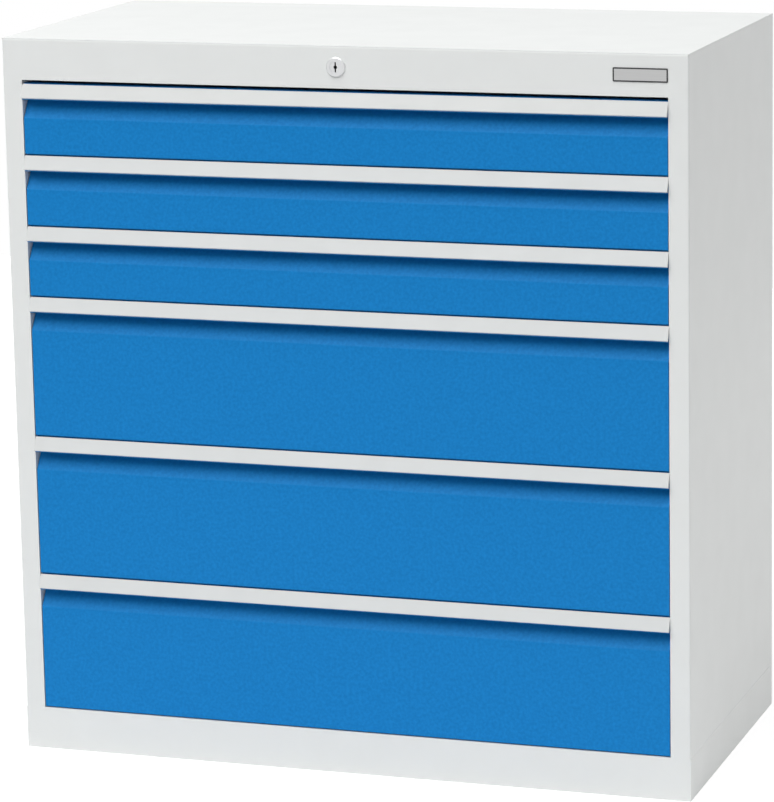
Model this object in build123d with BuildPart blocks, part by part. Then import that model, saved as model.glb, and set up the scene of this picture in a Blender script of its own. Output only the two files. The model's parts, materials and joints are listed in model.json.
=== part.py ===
# Drawer cabinet of folded sheet steel: a housing on a plinth, six full-extension
# drawers on telescopic ball runners, and one cylinder lock that bars them all.
#
# Frame: millimetres, origin on the floor under the centre of the housing,
# +X to the right seen from the front, +Y to the back, +Z up.

import os
from math import atan2, cos, degrees, hypot, radians, sin, tan

from build123d import *

# Housing
WIDTH = 979.0
DEPTH = 480.0
HEIGHT = 1020.0
SHEET = 1.2
PLINTH_HEIGHT = 60.0
PLINTH_FOOT = 25.0
JAMB_FACE = 28.0
JAMB_RETURN = 35.0
TOP_RAIL_FACE = 57.8
TOP_RAIL_LIP = 25.0
CORNER_BEND = 2.2
REAR_FLANGE = 16.0
TOP_EDGE_ROUND = 0.8

# Drawer fronts, from the top one down, in height units
DRAWER_SHARES = (1, 1, 1, 2, 2, 2)
TOP_GAP = 5.2
PLINTH_OVERLAP = 3.0
FRONT_GAP = 1.2
SIDE_GAP = 1.2
FRONT_SHEET = 1.2
FRONT_BEND = 1.9
FACE_SETBACK = 0.8
RECESS_DEPTH = 22.0
RECESS_WALL = 16.0
RECESS_SLOPE = 32.0
FIXING_LIP = 16.0

# Grip: the front's sloping lip and the flat bar on it, proud of the housing at its foot
GRIP_BAR = 4.0
GRIP_SETBACK = 1.2
GRIP_PROUD = 7.0
GRIP_TOP = 0.4
GRIP_BOTTOM = 19.1
GRIP_END_GAP = 0.4
LIP_SHOWN = 1.0

# Drawer boxes
BOX_SHEET = 1.0
BOX_LIFT = 8.0
BOX_DROP = 12.0
BOX_HEM = 8.0
BOX_REAR = 50.0
SLOT_PITCH = 75.0
SLOT_WIDTH = 3.0
SLOT_MARGIN = 22.0
SLOT_END = 40.0

# Telescopic runners, measured across from the drawer's side
RAIL_SHEET = 1.5
RAIL_SETBACK = 50.0
RAIL_CLEAR = 0.6
RAIL_LIFT = 4.0
RAIL_END = 2.0
BALL_GAP = 4.0
CAGE_PLAY = 0.4
CAGE_SHEET = 0.8
CAGE_LENGTH = 180.0
DRAWER_RAIL_HALF = 10.0
DRAWER_RAIL_FLANGE = 9.0
CARRIAGE_FLANGE = 10.0
CABINET_RAIL_FLANGE = 12.5
CABINET_RAIL_LIP = 3.5
WEB_GAP = 5.2

# Slotted uprights that carry the cabinet rails
UPRIGHT_WIDTH = 30.0
UPRIGHT_SHEET = 1.5
HOOK_WIDTH = 2.0
HOOK_HEIGHT = 12.0
HOOK_REACH = 5.0
HOOK_PLAY = 0.5

# Lock in the top rail
LOCK_FLANGE_RADIUS = 13.5
LOCK_FLANGE_PROUD = 2.6
LOCK_BEVEL = 1.2
LOCK_BODY_RADIUS = 11.0
LOCK_HOLE_PLAY = 0.2
BARREL_RADIUS = 7.8
BARREL_PLAY = 0.08
BARREL_RECESS = 0.6
BARREL_TAIL = 2.0
KEYHOLE_HEIGHT = 13.8
KEYHOLE_WIDTH = 2.0
KEYHOLE_ROUND = 2.5
KEYHOLE_DEPTH = 18.0
NUT_THICKNESS = 5.0
NUT_ACROSS_FLATS = 26.0
THREAD_PLAY = 0.05

# Lock linkage: cam, crossbar and hooked bar
CAM_ARM = 16.0
CAM_SHEET = 2.5
CAM_BOSS_RADIUS = 8.0
CAM_TIP_RADIUS = 5.0
CAM_PIN_RADIUS = 2.5
LINK_GAP = 1.5
BAR_SHEET = 3.0
BAR_GAP = 3.0
CAM_SLOT_PLAY = 0.6
LINK_PLAY = 0.3
CROSSBAR_LOW = 3.0
CROSSBAR_HEIGHT = 24.0
CROSSBAR_TAIL = 25.0
LOCK_LIFT = 14.0
LINK_PIN_RADIUS = 3.0
LINK_PIN_INSET = 15.0
LINK_EDGE = 5.0
PIN_PROUD = 0.5
BAR_FOOT = 8.0
BAR_WIDTH = 18.0
BAR_INSET = 5.0
BAR_REAR_OF_JAMB = 7.5
HOOK_TAB = 10.0
HOOK_GAP = 2.0
CATCH_HEIGHT = 12.0
CATCH_DEPTH = 16.0
CATCH_WIDTH = 8.5
CATCH_PLAY = 1.5
HOOK_OVERLAP_X = 6.0
GUIDE_WALL = 2.4
GUIDE_HEIGHT = 18.0
GUIDE_FOOT = 14.0
GUIDE_LIFT = 24.0
GUIDE_PLAY = 0.4
CROSSBAR_GUIDE_WIDTH = 14.0
GUIDE_FROM_LOCK = 70.0
GUIDE_FROM_LINK = 115.0

# Blank plate at the right of the top rail
PLATE_WIDTH = 75.0
PLATE_HEIGHT = 18.8
PLATE_SHEET = 0.8
PLATE_RIM = 1.8
PLATE_FIELD_DEPTH = 0.25
PLATE_CORNER = 1.5
PLATE_INSET = 0.2

# Planes and limits worked out from the sizes above
FRONT_Y = -DEPTH / 2
BACK_Y = DEPTH / 2
HALF_WIDTH = WIDTH / 2
OPENING_HALF = HALF_WIDTH - JAMB_FACE
OPENING_TOP = HEIGHT - TOP_RAIL_FACE
OPENING_BOTTOM = PLINTH_HEIGHT
JAMB_REAR_Y = FRONT_Y + JAMB_RETURN
ROOF_UNDER = HEIGHT - SHEET
SIDE_INNER = HALF_WIDTH - SHEET
FRONT_HALF = OPENING_HALF - SIDE_GAP
GRIP_LENGTH = hypot(GRIP_SETBACK + GRIP_PROUD, GRIP_BOTTOM - GRIP_TOP)
GRIP_SLOPE = atan2(GRIP_SETBACK + GRIP_PROUD, GRIP_BOTTOM - GRIP_TOP)
BOX_FRONT_Y = FRONT_Y + RECESS_DEPTH + FRONT_SHEET
BOX_REAR_Y = BACK_Y - BOX_REAR
RAIL_FRONT_Y = FRONT_Y + RAIL_SETBACK
RAIL_REAR_Y = BOX_REAR_Y

# Across the runner, from the jamb inwards and outwards
CARRIAGE_OUTER = OPENING_HALF - RAIL_CLEAR
CARRIAGE_HALF = DRAWER_RAIL_HALF + BALL_GAP + RAIL_SHEET
CABINET_RAIL_HALF = CARRIAGE_HALF + BALL_GAP + RAIL_SHEET
CARRIAGE_INNER = CARRIAGE_OUTER - RAIL_SHEET
CABINET_RAIL_SEAT = CARRIAGE_OUTER + WEB_GAP + RAIL_SHEET
DRAWER_RAIL_TIP = CARRIAGE_INNER - WEB_GAP / 2
BOX_HALF = DRAWER_RAIL_TIP - DRAWER_RAIL_FLANGE
RAIL_CENTRE = BOX_LIFT + RAIL_LIFT + CABINET_RAIL_HALF

# Stack of drawers between the top rail and the plinth, in equal height units
STACK_TOP = OPENING_TOP - TOP_GAP
STACK_BOTTOM = OPENING_BOTTOM - PLINTH_OVERLAP
HEIGHT_UNIT = (STACK_TOP - STACK_BOTTOM) / sum(DRAWER_SHARES)
FRONT_TOPS = [
    STACK_TOP - HEIGHT_UNIT * sum(DRAWER_SHARES[:above]) for above in range(len(DRAWER_SHARES))
]
BASES = [top - HEIGHT_UNIT * share for top, share in zip(FRONT_TOPS, DRAWER_SHARES)]
FRONT_BOTTOMS = [max(base, OPENING_BOTTOM) + FRONT_GAP for base in BASES]

# Heights above each drawer's base where the hooked bar and the catches work
HOOK_BOTTOM = RAIL_CENTRE + CABINET_RAIL_HALF + HOOK_GAP
CATCH_BOTTOM = HOOK_BOTTOM + HOOK_TAB + HOOK_GAP

# Depths of the lock linkage behind the front
LOCK_Z = (OPENING_TOP + HEIGHT) / 2
BAR_FRONT_Y = JAMB_REAR_Y + BAR_REAR_OF_JAMB
BAR_REAR_Y = BAR_FRONT_Y + BAR_SHEET
CROSSBAR_REAR_Y = BAR_FRONT_Y - BAR_GAP
CROSSBAR_FRONT_Y = CROSSBAR_REAR_Y - BAR_SHEET
CAM_REAR_Y = CROSSBAR_FRONT_Y - LINK_GAP
CAM_FRONT_Y = CAM_REAR_Y - CAM_SHEET
CATCH_FRONT_Y = BAR_REAR_Y + CATCH_PLAY
CROSSBAR_TRAVEL = 2 * CAM_ARM * sin(radians(45))
CAM_PIN_X = CAM_ARM * cos(radians(45))
CAM_PIN_Z = LOCK_Z - CAM_ARM * sin(radians(45))
CROSSBAR_BOTTOM = OPENING_TOP + SHEET + CROSSBAR_LOW
LINK_PIN_X = OPENING_HALF - LINK_PIN_INSET
LINK_PIN_Z = CROSSBAR_BOTTOM + LINK_EDGE + LINK_PIN_RADIUS + LINK_PLAY
BAR_OUTER_X = SIDE_INNER - BAR_INSET
BAR_INNER_X = BAR_OUTER_X - BAR_WIDTH


def facing_front(y):
    """Plane across the cabinet at depth y, seen from the front."""
    return Plane.XZ.offset(-y)


def folded(points, thickness, side, bend=0.0):
    """Section of a folded sheet: the path of one face, thickened to one side."""
    with BuildSketch() as section:
        with BuildLine():
            if bend > 0:
                FilletPolyline(*points, radius=bend)
            else:
                Polyline(*points)
            offset(amount=thickness, side=side, kind=Kind.INTERSECTION)
        make_face()
    return section.sketch


def block(x_range, y_range, z_range, mode=Mode.ADD):
    """Rectangular solid between two corners, in the part being built."""
    sizes = [high - low for low, high in (x_range, y_range, z_range)]
    middle = [(low + high) / 2 for low, high in (x_range, y_range, z_range)]
    with Locations(tuple(middle)):
        Box(*sizes, mode=mode)


def save(piece, name):
    """Label a finished piece and write its file."""
    piece.part.label = name
    export_step(piece.part, f"parts/{name}.step")


def save_group(pieces, name):
    """Write several separate solids as one labelled group."""
    group = Compound(label=name, children=[piece.part for piece in pieces])
    export_step(group, f"parts/{name}.step")


os.makedirs("parts", exist_ok=True)

# Side panels: wall, front jamb with its return, and flanges for the back and the roof
for name, hand in (("side_panel_right", 1), ("side_panel_left", -1)):
    jamb_path = [
        (OPENING_HALF, JAMB_REAR_Y),
        (OPENING_HALF, FRONT_Y),
        (HALF_WIDTH, FRONT_Y),
    ]
    with BuildPart() as side_panel:
        with BuildSketch(Plane.XY.offset(PLINTH_HEIGHT)):
            with BuildLine():
                outer = [*jamb_path, (HALF_WIDTH, BACK_Y)]
                Polyline(*outer)
                offset(amount=SHEET, side=Side.LEFT, kind=Kind.INTERSECTION)
            make_face()
        extrude(amount=ROOF_UNDER - PLINTH_HEIGHT)
        outermost = side_panel.edges().filter_by(Axis.Z).group_by(Axis.X)[-1]
        fillet(outermost.sort_by(Axis.Y)[0], CORNER_BEND)
        with BuildSketch(Plane.XY):
            add(folded(jamb_path, SHEET, Side.LEFT))
        extrude(amount=PLINTH_HEIGHT)
        rear_y = BACK_Y - SHEET
        flange_x = (SIDE_INNER - REAR_FLANGE, SIDE_INNER)
        block(flange_x, (rear_y - SHEET, rear_y), (PLINTH_HEIGHT, ROOF_UNDER))
        block(flange_x, (JAMB_REAR_Y, rear_y - SHEET), (ROOF_UNDER - SHEET, ROOF_UNDER))
        if hand < 0:
            mirror(about=Plane.YZ, mode=Mode.REPLACE)
    save(side_panel, name)

# Top panel, with its upper edges eased
with BuildPart() as top_panel:
    block((-HALF_WIDTH, HALF_WIDTH), (FRONT_Y, BACK_Y), (ROOF_UNDER, HEIGHT))
    fillet(top_panel.faces().sort_by(Axis.Z)[-1].edges(), TOP_EDGE_ROUND)
save(top_panel, "top_panel")

# Top rail between the jambs: a channel, bored for the lock
with BuildPart() as top_rail:
    rail_path = [
        (JAMB_REAR_Y, OPENING_TOP),
        (FRONT_Y, OPENING_TOP),
        (FRONT_Y, ROOF_UNDER),
        (FRONT_Y + TOP_RAIL_LIP, ROOF_UNDER),
    ]
    with BuildSketch(Plane.YZ):
        add(folded(rail_path, SHEET, Side.RIGHT))
    extrude(amount=OPENING_HALF, both=True)
    with BuildSketch(facing_front(FRONT_Y)):
        with Locations((0, LOCK_Z)):
            Circle(LOCK_BODY_RADIUS + LOCK_HOLE_PLAY)
    extrude(amount=-SHEET, mode=Mode.SUBTRACT)
save(top_rail, "top_rail")

# Back panel, on the side panels' rear flanges
with BuildPart() as back_panel:
    block((-SIDE_INNER, SIDE_INNER), (BACK_Y - SHEET, BACK_Y), (PLINTH_HEIGHT, ROOF_UNDER))
save(back_panel, "back_panel")

# Plinth: front and back rails across, side rails between them
side_rail_y = (JAMB_REAR_Y, BACK_Y - JAMB_RETURN)
with BuildPart() as plinth:
    for y, inward in ((FRONT_Y, 1), (BACK_Y, -1)):
        cross_path = [
            (y + inward * PLINTH_FOOT, 0),
            (y, 0),
            (y, PLINTH_HEIGHT),
            (y + inward * JAMB_RETURN, PLINTH_HEIGHT),
        ]
        with BuildSketch(Plane.YZ):
            add(folded(cross_path, SHEET, Side.RIGHT if inward > 0 else Side.LEFT))
        extrude(amount=OPENING_HALF, both=True)
    for hand in (1, -1):
        wall_x = sorted((hand * SIDE_INNER, hand * HALF_WIDTH))
        top_x = sorted((hand * (HALF_WIDTH - JAMB_RETURN), hand * SIDE_INNER))
        foot_x = sorted((hand * (HALF_WIDTH - PLINTH_FOOT), hand * SIDE_INNER))
        block(wall_x, (FRONT_Y + SHEET, BACK_Y), (0, PLINTH_HEIGHT))
        block(top_x, side_rail_y, (PLINTH_HEIGHT - SHEET, PLINTH_HEIGHT))
        block(foot_x, side_rail_y, (0, SHEET))
        rear_x = sorted((hand * OPENING_HALF, hand * SIDE_INNER))
        block(rear_x, (BACK_Y - SHEET, BACK_Y), (0, PLINTH_HEIGHT))
save(plinth, "plinth")

# Floor panel on the plinth
FLOOR_TOP = PLINTH_HEIGHT + SHEET
with BuildPart() as floor_panel:
    floor_y = (JAMB_REAR_Y, BACK_Y - 2 * SHEET)
    block((-SIDE_INNER, SIDE_INNER), floor_y, (PLINTH_HEIGHT, FLOOR_TOP))
save(floor_panel, "floor_panel")

# Slotted uprights: one hat-shaped post near the front and one near the back of each side
upright_spots = (RAIL_FRONT_Y, RAIL_REAR_Y - UPRIGHT_WIDTH)
slot_heights = []
for base, share in zip(BASES, DRAWER_SHARES):
    slot_heights += [base + RAIL_CENTRE + HEIGHT_UNIT * step for step in range(share)]
uprights = []
for hand in (1, -1):
    for y in upright_spots:
        with BuildPart() as upright:
            hat_path = [
                (SIDE_INNER, y),
                (CABINET_RAIL_SEAT, y),
                (CABINET_RAIL_SEAT, y + UPRIGHT_WIDTH),
                (SIDE_INNER, y + UPRIGHT_WIDTH),
            ]
            with BuildSketch(Plane.XY.offset(FLOOR_TOP)):
                add(folded(hat_path, UPRIGHT_SHEET, Side.RIGHT))
            extrude(amount=OPENING_TOP - FLOOR_TOP)
            with BuildSketch(Plane.YZ.offset(CABINET_RAIL_SEAT)):
                with Locations(*[(y + UPRIGHT_WIDTH / 2, z) for z in slot_heights]):
                    Rectangle(HOOK_WIDTH + 2 * HOOK_PLAY, HOOK_HEIGHT + 2 * HOOK_PLAY)
            extrude(amount=UPRIGHT_SHEET, mode=Mode.SUBTRACT)
            if hand < 0:
                mirror(about=Plane.YZ, mode=Mode.REPLACE)
        uprights.append(upright)
save_group(uprights, "slotted_uprights")


def rail(path, base, y_range):
    """Rolled runner member: a section seen from the front, drawn back to front."""
    heights = [(x, base + RAIL_CENTRE + z) for x, z in path]
    with BuildPart() as member:
        with BuildSketch(facing_front(y_range[1])):
            add(folded(heights, RAIL_SHEET, Side.RIGHT))
        extrude(amount=y_range[1] - y_range[0])
    return member


def mirrored(piece):
    """The same piece for the left side."""
    with BuildPart() as twin:
        add(piece.part)
        mirror(about=Plane.YZ, mode=Mode.REPLACE)
    return twin


# Cabinet rails: lipped channels that hook into the uprights, closed by a stop at the back
cabinet_lip_x = CABINET_RAIL_SEAT - CABINET_RAIL_FLANGE
cabinet_lip_z = CABINET_RAIL_HALF - CABINET_RAIL_LIP
cabinet_path = [
    (cabinet_lip_x, cabinet_lip_z),
    (cabinet_lip_x, CABINET_RAIL_HALF),
    (CABINET_RAIL_SEAT, CABINET_RAIL_HALF),
    (CABINET_RAIL_SEAT, -CABINET_RAIL_HALF),
    (cabinet_lip_x, -CABINET_RAIL_HALF),
    (cabinet_lip_x, -cabinet_lip_z),
]
cabinet_rails = []
for base in BASES:
    with BuildPart() as cabinet_rail:
        add(rail(cabinet_path, base, (RAIL_FRONT_Y, RAIL_REAR_Y)).part)
        centre_z = base + RAIL_CENTRE
        stop_x = (cabinet_lip_x + RAIL_SHEET, CABINET_RAIL_SEAT - RAIL_SHEET)
        stop_y = (RAIL_REAR_Y - RAIL_SHEET, RAIL_REAR_Y)
        block(stop_x, stop_y, (centre_z - CARRIAGE_HALF, centre_z + CARRIAGE_HALF))
        for y in upright_spots:
            hook_y = y + (UPRIGHT_WIDTH - HOOK_WIDTH) / 2
            hook_x = (CABINET_RAIL_SEAT, CABINET_RAIL_SEAT + HOOK_REACH)
            hook_z = (centre_z - HOOK_HEIGHT / 2, centre_z + HOOK_HEIGHT / 2)
            block(hook_x, (hook_y, hook_y + HOOK_WIDTH), hook_z)
    cabinet_rails += [cabinet_rail, mirrored(cabinet_rail)]
save_group(cabinet_rails, "cabinet_rails")

# Sections of the members that move, above the runner's centre line
carriage_path = [
    (CARRIAGE_OUTER - CARRIAGE_FLANGE, CARRIAGE_HALF),
    (CARRIAGE_OUTER, CARRIAGE_HALF),
    (CARRIAGE_OUTER, -CARRIAGE_HALF),
    (CARRIAGE_OUTER - CARRIAGE_FLANGE, -CARRIAGE_HALF),
]
drawer_rail_path = [
    (DRAWER_RAIL_TIP, -DRAWER_RAIL_HALF),
    (BOX_HALF, -DRAWER_RAIL_HALF),
    (BOX_HALF, DRAWER_RAIL_HALF),
    (DRAWER_RAIL_TIP, DRAWER_RAIL_HALF),
]
moving_rear_y = RAIL_REAR_Y - RAIL_END


def ball_cage(base, inner_x, web_x, low, high):
    """Ball retainer: two strips that hold the balls, joined by a thin web."""
    cage_y = (RAIL_FRONT_Y + RAIL_REAR_Y - CAGE_LENGTH) / 2
    centre_z = base + RAIL_CENTRE
    with BuildPart() as cage:
        block((inner_x, web_x), (cage_y, cage_y + CAGE_LENGTH), (centre_z - high, centre_z + high))
        hollow_x = (inner_x, web_x - CAGE_SHEET)
        hollow_z = (centre_z - low, centre_z + low)
        block(hollow_x, (cage_y, cage_y + CAGE_LENGTH), hollow_z, mode=Mode.SUBTRACT)
    return cage


def grip_point(top, depth, along=0.0):
    """Point on the grip's slope: so deep behind the bar's face, so far down it."""
    y = FRONT_Y + GRIP_SETBACK + depth * cos(GRIP_SLOPE) - along * sin(GRIP_SLOPE)
    z = top - GRIP_TOP - depth * sin(GRIP_SLOPE) - along * cos(GRIP_SLOPE)
    return y, z


def front_sheet(bottom, top):
    """Formed front: folded foot, flat face, finger recess, top flange and grip lip."""
    face_y = FRONT_Y + FACE_SETBACK
    recess_y = FRONT_Y + RECESS_DEPTH
    slope_top = top - RECESS_WALL
    slope_bottom = slope_top - RECESS_SLOPE
    flange_z = top - FRONT_SHEET
    lip_depth = GRIP_BAR + FRONT_SHEET
    lip_y, lip_z = grip_point(top, lip_depth)
    path = [
        (BOX_FRONT_Y, bottom + FIXING_LIP),
        (BOX_FRONT_Y, bottom),
        (face_y, bottom),
        (face_y, slope_bottom),
        (recess_y, slope_top),
        (recess_y, flange_z),
        (lip_y + (flange_z - lip_z) * tan(GRIP_SLOPE), flange_z),
        grip_point(top, lip_depth, GRIP_LENGTH + LIP_SHOWN),
    ]
    cheek_back = [path[4], (BOX_FRONT_Y, slope_top), path[1]]
    with BuildPart() as panel:
        with BuildSketch(Plane.YZ):
            add(folded(path, FRONT_SHEET, Side.RIGHT, FRONT_BEND))
        extrude(amount=FRONT_HALF, both=True)
        for plane, inward in (
            (Plane.YZ.offset(FRONT_HALF), -FRONT_SHEET),
            (Plane.YZ.offset(-FRONT_HALF), FRONT_SHEET),
        ):
            with BuildSketch(plane):
                with BuildLine():
                    FilletPolyline(*path[1:5], radius=FRONT_BEND)
                    Polyline(*cheek_back)
                make_face()
            extrude(amount=inward)
    return panel


def grip_bar(top):
    """Flat bar on the outside of the front's lip."""
    with BuildPart() as bar:
        with BuildSketch(Plane.YZ):
            with BuildLine():
                corners = [
                    grip_point(top, 0),
                    grip_point(top, 0, GRIP_LENGTH),
                    grip_point(top, GRIP_BAR, GRIP_LENGTH),
                    grip_point(top, GRIP_BAR),
                ]
                Polyline(*corners, close=True)
            make_face()
        extrude(amount=OPENING_HALF - GRIP_END_GAP, both=True)
    return bar


def slotted_wall(x_range, y_range, z_range, slots, across):
    """One upright wall of a drawer box with a row of divider slots."""
    centre = [(low + high) / 2 for low, high in (x_range, y_range, z_range)]
    height = z_range[1] - z_range[0] - 2 * SLOT_MARGIN
    plane = facing_front(y_range[1]) if across else Plane.YZ.offset(x_range[0])
    middle = centre[0] if across else centre[1]
    with BuildPart() as wall:
        block(x_range, y_range, z_range)
        with BuildSketch(plane):
            with Locations((middle, centre[2])):
                with GridLocations(SLOT_PITCH, 0, slots, 1):
                    Rectangle(SLOT_WIDTH, height)
        extrude(amount=BOX_SHEET, mode=Mode.SUBTRACT)
    return wall


def drawer_box(base, top):
    """Drawer box of welded plates: bottom, two hemmed sides, front and back walls."""
    bottom = base + BOX_LIFT
    rim = top - BOX_DROP
    wall_z = (bottom + BOX_SHEET, rim)
    side_y = (BOX_FRONT_Y + BOX_SHEET, BOX_REAR_Y - BOX_SHEET)
    across_slots = int((2 * BOX_HALF - 2 * SLOT_END) / SLOT_PITCH) + 1
    side_slots = int((side_y[1] - side_y[0] - 2 * SLOT_END) / SLOT_PITCH) + 1
    whole_x = (-BOX_HALF, BOX_HALF)
    with BuildPart() as plate:
        block(whole_x, (BOX_FRONT_Y, BOX_REAR_Y), (bottom, bottom + BOX_SHEET))
    front_y = (BOX_FRONT_Y, side_y[0])
    rear_y = (side_y[1], BOX_REAR_Y)
    front_wall = slotted_wall(whole_x, front_y, wall_z, across_slots, True)
    with BuildPart() as rear_wall:
        add(slotted_wall(whole_x, rear_y, wall_z, across_slots, True).part)
        block(whole_x, (BOX_REAR_Y, BOX_REAR_Y + BOX_HEM), (rim - BOX_SHEET, rim))
    with BuildPart() as side_wall:
        side_x = (BOX_HALF - BOX_SHEET, BOX_HALF)
        add(slotted_wall(side_x, side_y, wall_z, side_slots, False).part)
        block((BOX_HALF, BOX_HALF + BOX_HEM), side_y, (rim - BOX_SHEET, rim))
    return [plate, front_wall, rear_wall, side_wall, mirrored(side_wall)]


# Drawers, from the top one down
for number, (base, bottom, top) in enumerate(zip(BASES, FRONT_BOTTOMS, FRONT_TOPS), 1):
    save(front_sheet(bottom, top), f"drawer_{number}_front")
    save(grip_bar(top), f"drawer_{number}_grip")
    save_group(drawer_box(base, top), f"drawer_{number}_box")

    plain_rail = rail(drawer_rail_path, base, (CATCH_FRONT_Y, moving_rear_y))
    catch_z = (base + CATCH_BOTTOM, base + CATCH_BOTTOM + CATCH_HEIGHT)
    with BuildPart() as catch_rail:
        add(plain_rail.part)
        tongue_x = (BOX_HALF, BOX_HALF + RAIL_SHEET)
        tongue_z = (base + RAIL_CENTRE, catch_z[1])
        block(tongue_x, (CATCH_FRONT_Y, CATCH_FRONT_Y + CATCH_DEPTH), tongue_z)
        ear_x = (BOX_HALF + RAIL_SHEET, BOX_HALF + RAIL_SHEET + CATCH_WIDTH)
        block(ear_x, (CATCH_FRONT_Y, CATCH_FRONT_Y + RAIL_SHEET), catch_z)
    save_group([catch_rail, mirrored(plain_rail)], f"drawer_{number}_rails")

    carriage = rail(carriage_path, base, (RAIL_FRONT_Y, moving_rear_y))
    save_group([carriage, mirrored(carriage)], f"drawer_{number}_carriage")

    outer_cage = ball_cage(
        base,
        cabinet_lip_x + RAIL_SHEET + CAGE_PLAY,
        CARRIAGE_OUTER + (WEB_GAP + CAGE_SHEET) / 2,
        CARRIAGE_HALF + CAGE_PLAY,
        CABINET_RAIL_HALF - RAIL_SHEET - CAGE_PLAY,
    )
    save_group([outer_cage, mirrored(outer_cage)], f"drawer_{number}_outer_cages")
    inner_cage = ball_cage(
        base,
        CARRIAGE_OUTER - CARRIAGE_FLANGE + CAGE_PLAY,
        CARRIAGE_INNER - (CARRIAGE_INNER - DRAWER_RAIL_TIP - CAGE_SHEET) / 2,
        DRAWER_RAIL_HALF + CAGE_PLAY,
        CARRIAGE_HALF - RAIL_SHEET - CAGE_PLAY,
    )
    save_group([inner_cage, mirrored(inner_cage)], f"drawer_{number}_inner_cages")

# Lock body: flanged sleeve through the top rail, held by its nut
lock_face_y = FRONT_Y - LOCK_FLANGE_PROUD
body_rear_y = CAM_FRONT_Y - BARREL_TAIL
with BuildPart() as lock_body:
    with BuildSketch(facing_front(FRONT_Y)):
        with Locations((0, LOCK_Z)):
            Circle(LOCK_FLANGE_RADIUS)
    extrude(amount=LOCK_FLANGE_PROUD)
    chamfer(lock_body.faces().sort_by(Axis.Y)[0].edges(), LOCK_BEVEL)
    with BuildSketch(facing_front(body_rear_y)):
        with Locations((0, LOCK_Z)):
            Circle(LOCK_BODY_RADIUS)
    extrude(amount=body_rear_y - FRONT_Y)
    with BuildSketch(facing_front(body_rear_y)):
        with Locations((0, LOCK_Z)):
            Circle(BARREL_RADIUS + BARREL_PLAY)
    extrude(amount=body_rear_y - lock_face_y, mode=Mode.SUBTRACT)
save(lock_body, "lock_body")

with BuildPart() as lock_nut:
    with BuildSketch(facing_front(FRONT_Y + SHEET)):
        with Locations((0, LOCK_Z)):
            RegularPolygon(NUT_ACROSS_FLATS / 2, 6, major_radius=False)
            Circle(LOCK_BODY_RADIUS + THREAD_PLAY, mode=Mode.SUBTRACT)
    extrude(amount=-NUT_THICKNESS)
save(lock_nut, "lock_nut")

# Lock barrel with its keyhole, and the cam on its tail
with BuildPart() as lock_barrel:
    with BuildSketch(facing_front(CAM_FRONT_Y)):
        with Locations((0, LOCK_Z)):
            Circle(BARREL_RADIUS)
    extrude(amount=CAM_FRONT_Y - lock_face_y - BARREL_RECESS)
    with BuildSketch(facing_front(lock_face_y + BARREL_RECESS)):
        with Locations((0, LOCK_Z)):
            Rectangle(KEYHOLE_WIDTH, KEYHOLE_HEIGHT)
            Circle(KEYHOLE_ROUND)
    extrude(amount=-KEYHOLE_DEPTH, mode=Mode.SUBTRACT)
save(lock_barrel, "lock_barrel")

with BuildPart() as lock_cam:
    with BuildSketch(facing_front(CAM_REAR_Y)):
        with Locations((0, LOCK_Z)):
            Circle(CAM_BOSS_RADIUS)
        with Locations((CAM_PIN_X, CAM_PIN_Z)):
            Circle(CAM_TIP_RADIUS)
        make_hull()
    extrude(amount=CAM_SHEET)
    with BuildSketch(facing_front(CROSSBAR_REAR_Y + PIN_PROUD)):
        with Locations((CAM_PIN_X, CAM_PIN_Z)):
            Circle(CAM_PIN_RADIUS)
    extrude(amount=CROSSBAR_REAR_Y + PIN_PROUD - CAM_REAR_Y)
save(lock_cam, "lock_cam")

# Crossbar: pushed sideways by the cam's pin, lifts the hooked bar by its sloping slot
slot_rise = degrees(atan2(LOCK_LIFT, CROSSBAR_TRAVEL))
link_edge = LINK_PIN_RADIUS + LINK_PLAY + LINK_EDGE
head_x = (LINK_PIN_X - link_edge, LINK_PIN_X + CROSSBAR_TRAVEL + link_edge)
head_z = (CROSSBAR_BOTTOM, LINK_PIN_Z + LOCK_LIFT + link_edge)
crossbar_y = (CROSSBAR_FRONT_Y, CROSSBAR_REAR_Y)
crossbar_z = (CROSSBAR_BOTTOM, CROSSBAR_BOTTOM + CROSSBAR_HEIGHT)
cam_slot_drop = CAM_ARM * (1 - sin(radians(45)))
with BuildPart() as lock_crossbar:
    block((-CROSSBAR_TAIL, head_x[1]), crossbar_y, crossbar_z)
    block(head_x, crossbar_y, head_z)
    with BuildSketch(facing_front(CROSSBAR_REAR_Y)):
        with Locations((LINK_PIN_X + CROSSBAR_TRAVEL / 2, LINK_PIN_Z + LOCK_LIFT / 2)):
            slot_length = hypot(CROSSBAR_TRAVEL, LOCK_LIFT)
            slot_width = 2 * (LINK_PIN_RADIUS + LINK_PLAY)
            SlotCenterToCenter(slot_length, slot_width, rotation=slot_rise)
        with Locations((CAM_PIN_X, CAM_PIN_Z - cam_slot_drop / 2)):
            SlotCenterToCenter(cam_slot_drop, 2 * (CAM_PIN_RADIUS + CAM_SLOT_PLAY), rotation=90)
    extrude(amount=BAR_SHEET, mode=Mode.SUBTRACT)
save(lock_crossbar, "lock_crossbar")

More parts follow.
